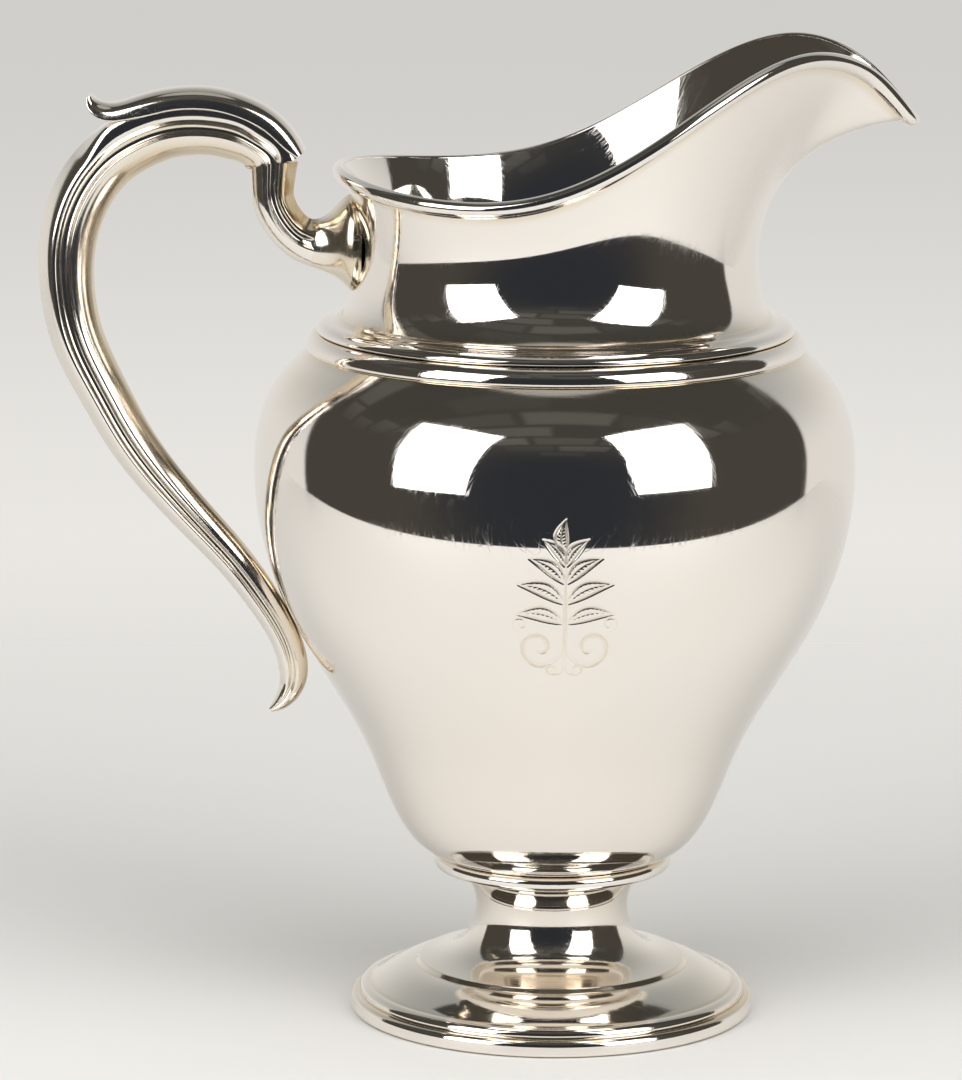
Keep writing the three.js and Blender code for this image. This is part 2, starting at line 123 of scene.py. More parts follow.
# The same rows under the cap, where the back of the scroll is flat.
BEDDED = [
    (0.5, 0), (0.5, 0.12), (0.5, 0.22), (0.49, 0.32), (0.465, 0.395), (0.41, 0.44), (0.33, 0.46),
    (0.24, 0.458), (0.18, 0.43), (0.135, 0.38),
] + MOULDED[10:]


# ---------------------------------------------------------------- curves

def faired(rows, count, ripple, places=None, closed=False, hold=1e3):
    """Smooth curve close to a few rows of numbers, as samples spaced evenly along them. Waves
    shorter than about `ripple` are smoothed away; the ends of an open curve are held."""
    rows = np.array(rows, float)
    ring = np.vstack([rows, rows[:1]]) if closed else rows
    if places is None:
        steps = np.linalg.norm(np.diff(ring[:, :2], axis=0), axis=1)
    else:
        steps = np.diff(places)
    place = np.concatenate([[0], np.cumsum(steps)])
    gaps = count if closed else count - 1
    at = place[:len(rows)] / place[-1] * gaps
    low = np.minimum(at.astype(int), gaps - 1)
    pick = np.zeros((len(rows), count))
    pick[np.arange(len(rows)), low] = 1 - (at - low)
    pick[np.arange(len(rows)), (low + 1) % count] += at - low
    weight = np.ones(len(rows))
    if not closed:
        weight[[0, -1]] = hold
    third = np.zeros((count if closed else count - 3, count))
    for k, value in enumerate((-1, 3, -3, 1)):
        third[np.arange(len(third)), (np.arange(len(third)) + k) % count] += value
    stiffness = (ripple / (2 * math.pi)) ** 6 / np.mean(steps) / (place[-1] / gaps) ** 5
    left = (pick.T * weight) @ pick + stiffness * third.T @ third
    return np.linalg.solve(left, (pick.T * weight) @ rows)


def eased(outline, radius, steps=5, sharpest=12, closed=True):
    """An outline with each corner sharper than `sharpest` degrees rounded off."""
    points = [np.array(p, float) for p in outline]
    result = []
    for i, here in enumerate(points):
        if not closed and i in (0, len(points) - 1):
            result.append(here)
            continue
        back = points[i - 1] - here
        ahead = points[(i + 1) % len(points)] - here
        lengths = np.linalg.norm(back), np.linalg.norm(ahead)
        turn = math.degrees(math.acos(np.clip(-back @ ahead / lengths[0] / lengths[1], -1, 1)))
        if turn < sharpest:
            result.append(here)
            continue
        reach = min(radius, 0.45 * lengths[0], 0.45 * lengths[1])
        start = here + back / lengths[0] * reach
        end = here + ahead / lengths[1] * reach
        for t in np.linspace(0, 1, steps + 1):
            result.append((1 - t) ** 2 * start + 2 * t * (1 - t) * here + t * t * end)
    return np.array(result)


def offset(outline, distance):
    """An open outline moved sideways, to the left of its direction of travel."""
    along = np.gradient(outline, axis=0)
    along /= np.linalg.norm(along, axis=1)[:, None]
    return outline + distance * np.stack([-along[:, 1], along[:, 0]], 1)


# ---------------------------------------------------------------- meshes

def piece(name, points, faces, material, tarnish=None, sharp=38):
    """Mesh object from points in millimetres round the body's axis. `tarnish` is 0 to 1 a point."""
    mesh = bpy.data.meshes.new(name)
    placed = np.array(points, float) * MM + (AXIS_X, 0, 0)
    mesh.from_pydata(placed.tolist(), [], faces)
    mesh.validate()
    shape = bmesh.new()
    shape.from_mesh(mesh)
    bmesh.ops.recalc_face_normals(shape, faces=shape.faces)
    shape.to_mesh(mesh)
    shape.free()
    stain = mesh.attributes.new("tarnish", "FLOAT", "POINT")
    stain.data.foreach_set("value", np.zeros(len(points)) if tarnish is None else np.clip(tarnish, 0, 1))
    mesh.shade_smooth()
    mesh.set_sharp_from_angle(angle=math.radians(sharp))
    mesh.materials.append(material)
    thing = bpy.data.objects.new(name, mesh)
    bpy.context.scene.collection.objects.link(thing)
    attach(thing, "root")
    return thing


def skin(rings, around=True, along=False, caps=False):
    """(points, faces) of a net of rings: rings[i][j]. `around` closes each ring, `along` joins the
    last ring to the first, and `caps` closes the first and last ring with a face."""
    rings = np.array(rings, float)
    count, size = rings.shape[:2]
    faces = []
    for i in range(count if along else count - 1):
        here, there = i * size, (i + 1) % count * size
        for j in range(size if around else size - 1):
            k = (j + 1) % size
            faces.append((here + j, here + k, there + k, there + j))
    if caps:
        faces.append(tuple(range(size))[::-1])
        faces.append(tuple(range((count - 1) * size, count * size)))
    return rings.reshape(-1, 3), faces


def circle(radius, height, angles):
    """Points at the given angles round the axis."""
    return np.stack([radius * np.cos(angles), radius * np.sin(angles), np.full(len(angles), height)], 1)


def spun(name, outline, material, stain=None, angles=None, pole=False):
    """A closed outline of (radius, height) turned round the axis. A pole outline starts and ends
    on the axis."""
    outline = np.array(outline, float)
    if angles is None:
        angles = np.arange(TURNS) * 2 * math.pi / TURNS
    if pole:
        outline[[0, -1], 0] = 0.02
    rings = [circle(radius, height, angles) for radius, height in outline]
    points, faces = skin(rings, around=True, along=not pole, caps=pole)
    tarnish = None if stain is None else np.repeat([stain(r, z) for r, z in outline], len(angles))
    return piece(name, points, faces, material, tarnish)


# ---------------------------------------------------------------- materials

STAIN_ROUGHNESS = 0.10  # what full tarnish, a scratch and a cut of the graver add
SCRATCH_ROUGHNESS = 0.12
CUT_ROUGHNESS = 0.3


def silver(name, tint, stain_tint, base_stain, roughness):
    """Polished silver: cloudy film, fine polishing scratches, and a warm tarnish where the mesh's
    tarnish value is high."""
    material = bpy.data.materials.new(name)
    material.use_nodes = True
    nodes, links = material.node_tree.nodes, material.node_tree.links
    shader = nodes["Principled BSDF"]
    shader.inputs["Metallic"].default_value = 1
    place = nodes.new("ShaderNodeTexCoord")

    def noise(scale, detail, stretch=(1, 1, 1), turn=(0, 0, 0)):
        """Noise over the piece, from 0 to 1."""
        mapping = nodes.new("ShaderNodeMapping")
        mapping.inputs["Scale"].default_value = stretch
        mapping.inputs["Rotation"].default_value = turn
        texture = nodes.new("ShaderNodeTexNoise")
        texture.inputs["Scale"].default_value = scale
        texture.inputs["Detail"].default_value = detail
        links.new(place.outputs["Object"], mapping.inputs["Vector"])
        links.new(mapping.outputs["Vector"], texture.inputs["Vector"])
        return texture.outputs["Fac"]

    def ramp(source, low, high, low_value, high_value):
        """The source's range from low to high, spread over other values."""
        node = nodes.new("ShaderNodeMapRange")
        node.inputs["From Min"].default_value = low
        node.inputs["From Max"].default_value = high
        node.inputs["To Min"].default_value = low_value
        node.inputs["To Max"].default_value = high_value
        links.new(source, node.inputs["Value"])
        return node.outputs["Result"]

    def math_node(operation, *sources):
        """Result of one operation on sockets and numbers."""
        node = nodes.new("ShaderNodeMath")
        node.operation = operation
        for socket, source in zip(node.inputs, sources):
            if isinstance(source, (int, float)):
                socket.default_value = source
            else:
                links.new(source, socket)
        return node.outputs["Value"]

    stain = nodes.new("ShaderNodeAttribute")
    stain.attribute_name = "tarnish"
    cut = nodes.new("ShaderNodeAttribute")
    cut.attribute_name = "engraved"
    clouds = ramp(noise(22, 4), 0.35, 0.7, 0.45, 1.25)
    film = ramp(noise(9, 3), 0.45, 0.75, 0, base_stain)
    clouded = math_node("MULTIPLY", stain.outputs["Fac"], clouds)
    amount = math_node("MINIMUM", math_node("ADD", clouded, film), 1)
    mix = nodes.new("ShaderNodeMix")
    mix.data_type = "RGBA"
    mix.inputs["A"].default_value = (*tint, 1)
    mix.inputs["B"].default_value = (*stain_tint, 1)
    links.new(amount, mix.inputs["Factor"])
    links.new(mix.outputs["Result"], shader.inputs["Base Color"])

    def scratches(turn, width):
        """Thin streaks that all run one way."""
        lines = noise(1, 1.5, stretch=(14, 1100, 60), turn=turn)
        distance = math_node("ABSOLUTE", math_node("SUBTRACT", lines, 0.5))
        return ramp(distance, 0, width, 1, 0)

    marks = scratches((0.4, 0.2, 0.3), 0.006)
    for turn in ((1.3, 0.5, -0.7), (0.2, 1.4, 1.1), (-0.8, 0.9, 2.0), (2.2, -0.4, 0.1)):
        marks = math_node("ADD", marks, scratches(turn, 0.005))
    patchy = ramp(noise(30, 2), 0.4, 0.65, 0.1, 1)
    marks = math_node("MULTIPLY", marks, patchy)
    rough = ramp(noise(40, 3), 0.3, 0.7, roughness, 2 * roughness)
    rough = math_node("ADD", rough, math_node("MULTIPLY", amount, STAIN_ROUGHNESS))
    rough = math_node("ADD", rough, math_node("MULTIPLY", marks, SCRATCH_ROUGHNESS))
    rough = math_node("ADD", rough, math_node("MULTIPLY", cut.outputs["Fac"], CUT_ROUGHNESS))
    links.new(rough, shader.inputs["Roughness"])
    bump = nodes.new("ShaderNodeBump")
    bump.inputs["Strength"].default_value = 0.02
    bump.inputs["Distance"].default_value = 0.0002
    links.new(marks, bump.inputs["Height"])
    links.new(bump.outputs["Normal"], shader.inputs["Normal"])
    return material


BODY = silver("silver_polished", (0.93, 0.885, 0.835), (0.80, 0.69, 0.52), 0.10, 0.022)
HANDLE = silver("silver_handle", (0.92, 0.875, 0.82), (0.76, 0.63, 0.42), 0.16, 0.06)


# ---------------------------------------------------------------- foot

def near(value, centre, reach):
    """1 at the centre, fading to 0 at a distance."""
    return max(0.0, 1 - abs(value - centre) / reach)


def make_foot():
    """Rim wire, hollow pedestal and the flange under the bowl."""
    inner = FOOT_RADIUS - 2.6
    wire = eased([
        (inner, 0), (FOOT_RADIUS - 0.5, 0), (FOOT_RADIUS, 0.5), (FOOT_RADIUS + 0.1, 1.6),
        (FOOT_RADIUS + 0.05, 2.9), (FOOT_RADIUS - 0.25, 3.7), (FOOT_RADIUS - 0.9, 4.15), (inner, 4.25),
    ], 0.7)
    thing = spun("foot_edge_wire", wire, BODY,
                 lambda r, z: 0.8 * near(z, 4, 0.8) + 0.3 * near(z, 0, 0.6))
    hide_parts("foot_rim_wire")

    brim = [(50.2, 1), (50.7, 4.25), (50.85, 5), (50.6, 5.9), (49.9, 6.5), (48.9, 6.8), (48.1, 6.85)]
    step = faired([(46.9, 7.5), (44.4, 9), (40.6, 10.9), (35.8, 12.2)], 24, 8)
    stem = faired([
        (34.9, 13.4), (31, 14.1), (27, 15.4), (23.8, 17.6), (21.4, 21), (20.2, 25.2), (20.1, 29.2),
        (21.2, 33), (23.4, 36.2), (26.4, 38.1),
    ], 70, 8)
    inside = faired([
        (25.2, 38.1), (22, 35.6), (19.8, 32), (18.9, 28.4), (19.2, 24), (20.8, 19.6), (23.6, 16),
        (27.8, 13.8), (34.6, 11.6), (41, 9.1), (46.4, 6.1), (49, 3.3), (49, 1),
    ], 60, 10)
    outline = eased([*brim, *step, *stem, *inside], 0.45)
    thing = spun("foot_dome", outline, BODY, lambda r, z: 0.22 + 0.6 * near(z, 4.3, 0.8)
                 + 0.5 * near(r, 35.4, 0.9) + 0.5 * near(r, 47.8, 0.8) + 0.5 * near(z, 38, 2))
    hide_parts("foot_pedestal")

    collar = eased([
        (22.5, 38.15), (29.6, 38.1), (30.7, 38.4), (31.2, 39.1), (31.3, 40), (31.15, 40.9),
        (30.6, 41.5), (29.9, 41.75), (28.5, 41.45), (22.5, 40.3),
    ], 0.8)
    thing = spun("foot_flange", collar, BODY,
                 lambda r, z: 0.8 * near(z, 41.1, 0.7) + 0.4 * near(z, 38, 0.8))
    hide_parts("foot_collar")


# ---------------------------------------------------------------- bowl

ORNAMENT_ANGLE = math.radians(-88.5)  # just off the front, towards the spout
ORNAMENT_HEIGHT = 125
ORNAMENT_WIDE = 15  # half of its width
ORNAMENT_TALL = 23  # half of its height
ENGRAVED = 0.22  # depth of a full stroke
ORNAMENT_RADIUS = 76  # of the bowl there
ORNAMENT_LEAN = 1.04  # length along the bowl for each millimetre of height


def ornament():
    """Strokes of the engraved sprig, each a row of (sideways, upwards, half width)."""
    strokes = []

    def stroke(along, width):
        """A cut along a row of points that swells from its ends to its middle."""
        t = np.linspace(0, 1, len(along))
        taper = width * np.sin(math.pi * np.clip(0.06 + 0.88 * t, 0, 1)) ** 0.6
        strokes.append(np.column_stack([along, taper]))

    def leaf(x, y, angle, length, width, side):
        """Two curved edges, a midrib and fine shading cuts."""
        turn = np.array([[math.cos(angle), -math.sin(angle)], [math.sin(angle), math.cos(angle)]])

        def lay(forward, sideways, thickness):
            """A cut given along and across the leaf, which arches over its length."""
            arch = 0.13 * length * np.sin(math.pi * forward / length)
            turned = np.column_stack([forward, sideways + arch]) @ turn.T
            stroke(np.column_stack([x + side * turned[:, 0], y + turned[:, 1]]), thickness)

        t = np.linspace(0, 1, 24)
        swell = np.sin(math.pi * t) * (1.15 - 0.4 * t) * width
        lay(t * length, swell, 0.36)
        lay(t * length, -swell, 0.36)
        lay(t * length * 0.9, 0 * t, 0.24)
        for start in np.arange(0.12, 0.75, 0.09):
            reach = np.linspace(0, 1, 6)
            edge = np.sin(math.pi * (start + 0.1)) * (1.15 - 0.4 * start) * width * 0.85
            lay((start + 0.1 * reach) * length, edge * reach, 0.13)
            lay((start + 0.1 * reach) * length, -edge * reach, 0.13)

    def curl(x, y, radius, turns, start, side, width, tall=1.0):
        """A spiral that winds in towards its centre."""
        t = np.linspace(0, 1, 70)
        angle = start + 2 * math.pi * turns * t
        shrink = radius * (1 - 0.85 * t)
        sideways = side * (x + shrink * np.cos(angle))
        upwards = y + tall * shrink * np.sin(angle)
        stroke(np.column_stack([sideways, upwards]), width)

    stalk = np.linspace(-19, 12, 40)
    for bow in (-0.35, 0.35):
        stroke(np.column_stack([bow * (1 - (stalk + 19) / 31), stalk]), 0.3)
    leaf_pairs = ((-7.5, 13, 0.2), (-2, 13.2, 0.42), (3.5, 11.5, 0.66), (8.2, 9.2, 0.92))
    for height, length, lean in leaf_pairs:
        for side in (-1, 1):
            leaf(0, height, lean, length, 0.145 * length, side)
    leaf(0, 11.5, math.pi / 2, 9.5, 1.5, 1)
    for side in (-1, 1):
        curl(6.9, -14.2, 6.6, 1.35, math.pi * 1.02, side, 0.4)
        curl(6.9, -14.2, 5.7, 1.25, math.pi * 1.02, side, 0.2)
        curl(3.1, -20.6, 3.1, 1.2, math.pi * 0.75, side, 0.3, 0.75)
        curl(11.5, -7.6, 2.4, 1.3, -math.pi * 0.5, side, 0.22)
    return strokes


def engraving(across, up):
    """Depth of the engraving at points laid out flat, in millimetres."""
    depth = np.zeros(across.shape)
    for row in ornament():
        for (x0, y0, w0), (x1, y1, w1) in zip(row[:-1], row[1:]):
            close = (np.abs(across - (x0 + x1) / 2) < 2) & (np.abs(up - (y0 + y1) / 2) < 2)
            if not close.any():
                continue
            px, py = across[close] - x0, up[close] - y0
            dx, dy = x1 - x0, y1 - y0
            t = np.clip((px * dx + py * dy) / (dx * dx + dy * dy + 1e-9), 0, 1)
            away = np.hypot(px - t * dx, py - t * dy)
            width = w0 + (w1 - w0) * t
            cut = ENGRAVED * np.minimum(width / 0.34, 1) * np.exp(-(away / (width + 0.06)) ** 4)
            depth[close] = np.maximum(depth[close], cut)
    return depth


def make_bowl():
    """Bowl sheet, with a fine mesh where the sprig is cut into it."""
    outside = faired(BOWL, 1200, 22)
    lengths = np.concatenate([[0], np.cumsum(np.linalg.norm(np.diff(outside, axis=0), axis=1))])
    fine_low, fine_high = (np.interp(ORNAMENT_HEIGHT + side * ORNAMENT_TALL, outside[:, 1], lengths)
                           for side in (-1, 1))
    stops = np.concatenate([
        np.linspace(0, fine_low, 34)[:-1], np.linspace(fine_low, fine_high, 236)[:-1],
        np.linspace(fine_high, lengths[-1], 28),
    ])
    outside = np.column_stack([np.interp(stops, lengths, outside[:, k]) for k in (0, 1)])
    inside = offset(outside[::9], SHEET)[::-1]
    lip = [(60.5, 178.9), (59.6, 178.3)]
    bottom = [(0, 40.4 + SHEET)]
    outline = np.vstack([[(0, 40.4)], outside, lip, inside[inside[:, 0] > 4], bottom])
    half = ORNAMENT_WIDE / ORNAMENT_RADIUS
    fine = np.linspace(ORNAMENT_ANGLE - half, ORNAMENT_ANGLE + half, 190)
    coarse = np.linspace(ORNAMENT_ANGLE + half, ORNAMENT_ANGLE - half + 2 * math.pi, 100)[1:-1]
    angles = np.concatenate([fine, coarse])
    thing = spun("bowl", outline, BODY, lambda r, z: 0.9 * near(z, 177, 3) + 0.3 * near(z, 171, 9)
                 + 0.7 * near(z, 41.2, 1.6) + 0.12 * near(z, 60, 30), angles, pole=True)

    mesh = thing.data
    co = np.zeros(len(mesh.vertices) * 3)
    mesh.vertices.foreach_get("co", co)
    co = co.reshape(-1, 3)
    flat = co.copy()
    flat[:, 0] -= AXIS_X
    flat /= MM
    radius = np.hypot(flat[:, 0], flat[:, 1])
    angle = np.arctan2(flat[:, 1], flat[:, 0])
    across = (angle - ORNAMENT_ANGLE) * ORNAMENT_RADIUS
    up = (flat[:, 2] - ORNAMENT_HEIGHT) * ORNAMENT_LEAN
    outer = np.zeros(len(co), bool)
    outer[len(angles):len(angles) * (len(outside) + 1)] = True
    depth = np.zeros(len(co))
    chosen = outer & (np.abs(across) < ORNAMENT_WIDE) & (np.abs(up) < ORNAMENT_TALL * ORNAMENT_LEAN)
    depth[chosen] = engraving(across[chosen], up[chosen])
    shrink = 1 - depth / radius
    co[:, 0] = (flat[:, 0] * shrink) * MM + AXIS_X
    co[:, 1] = flat[:, 1] * shrink * MM
    mesh.vertices.foreach_set("co", co.ravel())
    mesh.attributes.new("engraved", "FLOAT", "POINT").data.foreach_set("value", depth / ENGRAVED)
    stain = np.zeros(len(co))
    mesh.attributes["tarnish"].data.foreach_get("value", stain)
    mesh.attributes["tarnish"].data.foreach_set("value", np.maximum(stain, 0.75 * depth / ENGRAVED))
    mesh.update()
    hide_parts("body_bowl")


def make_shoulder():
    """The two rings over the joint between bowl and neck."""
    bead = eased([
        (60.6, 178.2), (63.0, 176.9), (64.3, 175.8), (64.75, 176.1), (64.9, 176.9), (64.7, 178),
        (64.1, 179.1), (63.2, 180), (62.2, 180.45), (60, 180.5),
    ], 1.0)
    thing = spun("shoulder_lower_bead", bead, BODY,
                 lambda r, z: 0.8 * near(z, 175.9, 0.9) + 0.7 * near(z, 180.5, 0.6))
    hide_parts("shoulder_bead")
    step = eased([
        (58.2, 180.55), (61.5, 180.55), (62.1, 180.9), (62.1, 181.6), (61.6, 182.4), (60.6, 183.1),
        (59.2, 183.5), (57.9, 183.7), (56.8, 184.2), (55.9, 184.9), (55.1, 185.0),
    ], 0.7)
    thing = spun("shoulder_upper_step", step, BODY,
                 lambda r, z: 0.7 * near(z, 180.6, 0.5) + 0.6 * near(z, 184.6, 0.9))
    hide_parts("shoulder_step")


# ---------------------------------------------------------------- neck

NECK_STEPS = 14  # facets between two stations
NECK_LEVELS = 90  # from the seam to the rim, closer together near the rim
NECK_RIPPLE = 2.4  # stations over which the guide lines are smoothed


def neck_guides():
    """The four closed guide lines, all split at the same places."""
    rows = [NECK[-1 - i] for i in range(len(NECK))]
    full = rows + [(-r[0], *r[1:4], -r[4], *r[5:7], -r[7], r[8]) for r in rows[::-1][1:-1]]

    def placed(row, radius, height):
        """A point at the row's angle round the axis."""
        angle = math.radians(row[0])
        return radius * math.cos(angle), radius * math.sin(angle), height

    seam = [placed(r, NECK_RADIUS, NECK_HEIGHT) for r in full]
    waist = [placed(r, r[1], r[2]) for r in full]
    upper = [r[3:6] for r in full]
    rim = [r[6:9] for r in full]
    return (seam, waist, upper, rim), len(full)


def neck_surface():
    """Outer face as a grid [around][seam to rim], with its outward normals and rim directions."""
    guides, count = neck_guides()
    places = np.arange(count + 1)
    a, b, c, d = (faired(g, count * NECK_STEPS, NECK_RIPPLE, places, closed=True) for g in guides)
    v = (1 - (1 - np.linspace(0, 1, NECK_LEVELS)) ** 1.15)[None, :, None]
    grid = ((1 - v) ** 3 * a[:, None] + 3 * v * (1 - v) ** 2 * b[:, None]
            + 3 * v * v * (1 - v) * c[:, None] + v ** 3 * d[:, None])
    up = np.gradient(grid, axis=1)
    up /= np.linalg.norm(up, axis=2)[:, :, None]
    wrapped = np.concatenate([grid[-1:], grid, grid[:1]])
    around = (wrapped[2:] - wrapped[:-2])
    around /= np.linalg.norm(around, axis=2)[:, :, None]
    normal = np.cross(around, up)
    normal /= np.linalg.norm(normal, axis=2)[:, :, None]
    return grid, normal, up


def make_neck():
    """Neck sheet with its spout, and the wire round its rim."""
    grid, normal, up = neck_surface()
    angle = np.arctan2(grid[:, 0, 1], grid[:, 0, 0])
    skirt = []
    for radius, height in ((59.6, 177.4), (58.6, 179.1), (57.4, 180.8), (56.4, 182.5)):
        skirt.append(circle(radius, height, angle))
    skirt = np.stack(skirt, 1)
    out = np.stack([np.cos(angle), np.sin(angle), 0 * angle], 1)[:, None]
    outer = np.concatenate([skirt, grid], 1)
    inner = np.concatenate([skirt - SHEET * out, grid - SHEET * normal], 1)
    rings = np.concatenate([outer, inner[:, ::-1]], 1)
    points, faces = skin(rings, around=True, along=True)
    tall = points[:, 2]
    tarnish = 0.7 * np.clip(1 - np.abs(tall - 185) / 2.5, 0, 1)
    below = np.zeros(rings.shape[:2])
    rows = grid.shape[1]
    travel = np.linalg.norm(np.diff(grid, axis=1), axis=2)[:, ::-1].cumsum(1)[:, ::-1]
    below[:, len(skirt[0]):len(skirt[0]) + rows - 1] = np.clip(1 - np.abs(travel - 4.2) / 2.2, 0, 1)
    tarnish = np.maximum(tarnish, 0.75 * below.ravel())
    thing = piece("neck_and_spout", points, faces, BODY, tarnish)
    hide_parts("body_neck")

    profile = eased([
        (3.9, -0.2), (3.85, 0.7), (3.5, 1.2), (2.7, 1.7), (1.6, 2.0), (0.5, 1.95), (-0.25, 1.5),
        (-0.6, 0.8), (-0.65, 0.0), (-0.5, -0.7), (0.0, -1.15), (0.7, -1.2), (0.7, -0.5), (0.2, -0.2),
    ], 0.8, steps=4)
    length = np.concatenate([travel, 0 * travel[:, :1]], 1)
    rings = []
    for i in range(len(grid)):
        ring = []
        for under, off in profile:
            depth = max(under, 0)
            at = np.array([np.interp(depth, length[i, ::-1], grid[i, ::-1, k]) for k in range(3)])
            facing = np.array([np.interp(depth, length[i, ::-1], normal[i, ::-1, k]) for k in range(3)])
            ring.append(at + facing / np.linalg.norm(facing) * off + up[i, -1] * max(-under, 0))
        rings.append(ring)
    points, faces = skin(rings, around=True, along=True)
    stain = np.tile([0.8 * near(under, 3.9, 0.9) for under, _ in profile], len(rings))
    thing = piece("rim_edge_wire", points, faces, BODY, stain, sharp=50)
    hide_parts("rim_wire")


# ---------------------------------------------------------------- handle

BAR_SAMPLES = 420  # along the main scroll
BED_ROW = 8.2  # row of the scroll where the cap lifts off its back
BED_FADE = 0.05  # share of the scroll over which its back turns from flat to bevelled


def bar_path(rows, count, ripple=9):
    """Centres, outward directions and section sizes along a bar in the plane of the handle."""
    line = faired(rows, count, ripple)
    travel = np.gradient(line[:, :2], axis=0)
    travel /= np.linalg.norm(travel, axis=1)[:, None]
    out = np.stack([travel[:, 1], -travel[:, 0]], 1)
    return line, out


def row_share(rows, row):
    """How far along the path a row is, from 0 to 1."""
    steps = np.linalg.norm(np.diff(np.array(rows)[:, :2], axis=0), axis=1)
    reach = np.concatenate([[0], np.cumsum(steps)])
    return np.interp(row, np.arange(len(rows)), reach / reach[-1])


def section_side(moulding, bedded=0):
    """One side of a handle's section, with the moulding at full strength (1) or died out (0), and
    its back bevelled (0) or flat (1)."""
    moulded = (1 - bedded) * np.array(MOULDED) + bedded * np.array(BEDDED)
    plain = np.column_stack([moulded[:, 0], 0.47 * np.sqrt(np.clip(1 - 4 * moulded[:, 0] ** 2, 0, 1))])
    return (1 - moulding) * plain + moulding * moulded


def softened(points, rounds=3):
    """Corners of an open outline cut again and again until it is smooth."""
    for _ in range(rounds):
        cut = np.empty((2 * len(points), points.shape[1]))
        cut[0], cut[-1] = points[0], points[-1]
        cut[1:-1:2] = 0.75 * points[:-1] + 0.25 * points[1:]
        cut[2::2] = 0.25 * points[:-1] + 0.75 * points[1:]
        points = cut
    return points


def bar_ring(centre, out, section):
    """A section of (outwards, sideways) points set at one place along a bar."""
    x = centre[0] + out[0] * section[:, 0]
    z = centre[1] + out[1] * section[:, 0]
    return np.stack([x, section[:, 1], z], 1)


def half_bar(name, node, line, out, side, moulding, bedded, stain, flip=1):
    """One stamped half of a hollow bar."""
    rings, tarnish = [], []
    turn = np.linspace(math.pi, 0, 9)
    for centre, facing, strength, flatness in zip(line, out, moulding, bedded):
        depth, width = centre[2], centre[3]
        outer = softened(section_side(strength, flatness)) * (depth, width)
        hollow = np.column_stack([(depth / 2 - 1.4) * np.cos(turn), (width * 0.31 - 1) * np.sin(turn)])
        section = np.vstack([outer, hollow]) * (flip, side)
        rings.append(bar_ring(centre, facing, section))
        tarnish.append(stain(section[:, 0] * flip / depth))
    points, faces = skin(rings, around=True, caps=True)
    thing = piece(name, points, faces, HANDLE, np.concatenate(tarnish), sharp=50)
    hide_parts(node)


def scroll_stain(across):
    """Tarnish over a section: on the inner side and in the groove."""
    inner = 0.75 * np.clip((-across - 0.08) / 0.3, 0, 1)
    groove = 0.5 * np.clip(1 - np.abs(across - 0.05) / 0.12, 0, 1)
    return np.maximum(inner, groove)


def whole_ring(depth, width, moulding):
    """Closed section of a solid bar."""
    half = softened(section_side(moulding)) * (depth, width)
    return np.vstack([half, half[-2:0:-1] * (1, -1)])


def make_scroll():
    """The two halves of the main scroll and its solid tail."""
    line, out = bar_path(SCROLL, BAR_SAMPLES)
    share = np.linspace(0, 1, len(line))
    tail = row_share(SCROLL, TAIL_ROW)
    main = share <= tail
    bed_end = row_share(SCROLL, BED_ROW) + 0.4 * BED_FADE
    bedded = np.clip((bed_end - share) / BED_FADE, 0, 1)
    bedded = bedded * bedded * (3 - 2 * bedded)
    for side, name, node in ((-1, "handle_front_half", "handle_scroll_front"),
                             (1, "handle_back_half", "handle_scroll_back")):
        half_bar(name, node, line[main], out[main], side, np.ones(main.sum()), bedded[main],
                 scroll_stain)
    first = np.flatnonzero(main)[-1]
    rest = np.arange(first, len(line))
    strength = np.clip((1 - share[rest]) / (1 - tail) / 0.55, 0, 1) ** 0.7
    rings = [bar_ring(line[i], out[i], whole_ring(line[i, 2], line[i, 3], s))
             for i, s in zip(rest, strength)]
    points, faces = skin(rings, around=True, caps=True)
    stain = np.tile(scroll_stain(whole_ring(1, 1, 1)[:, 0]) + 0.1, len(rings))
    thing = piece("handle_tail_scroll", points, faces, HANDLE, stain, sharp=50)
    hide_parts("handle_tail")


def make_branch():
    """The two halves of the branch, cut off where the scroll ends, and its trumpet on the neck."""
    line, out = bar_path(STEM, 200)
    share = np.linspace(0, 1, len(line))
    flange = row_share(STEM, FLANGE_ROW)
    keep = share <= flange
    start = np.array(SCROLL[0][:2])
    _, facing = bar_path(SCROLL, BAR_SAMPLES)
    along = np.array([-facing[0][1], facing[0][0]])
    below = (line[:, :2] - start) @ along
    keep &= below < 0.4
    strength = np.clip((flange - share) / flange / 0.12, 0, 1) ** 0.6
    for side, name, node in ((-1, "branch_front_half", "handle_stem_front"),
                             (1, "branch_back_half", "handle_stem_back")):
        half_bar(name, node, line[keep], out[keep], side, strength[keep], np.zeros(keep.sum()),
                 lambda across: 0.85 * np.clip(across / 0.25, 0, 1), flip=-1)
    rest = np.arange(np.flatnonzero(keep)[-1], len(line))
    rings = [bar_ring(line[i], out[i], whole_ring(line[i, 2], line[i, 3], 0)) for i in rest]
    points, faces = skin(rings, around=True, caps=True)
    reach = np.clip((points[:, 0] + 60) / 8, 0, 1)
    thing = piece("branch_flange", points, faces, HANDLE, 0.25 + 0.55 * reach, sharp=50)
    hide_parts("handle_flange")


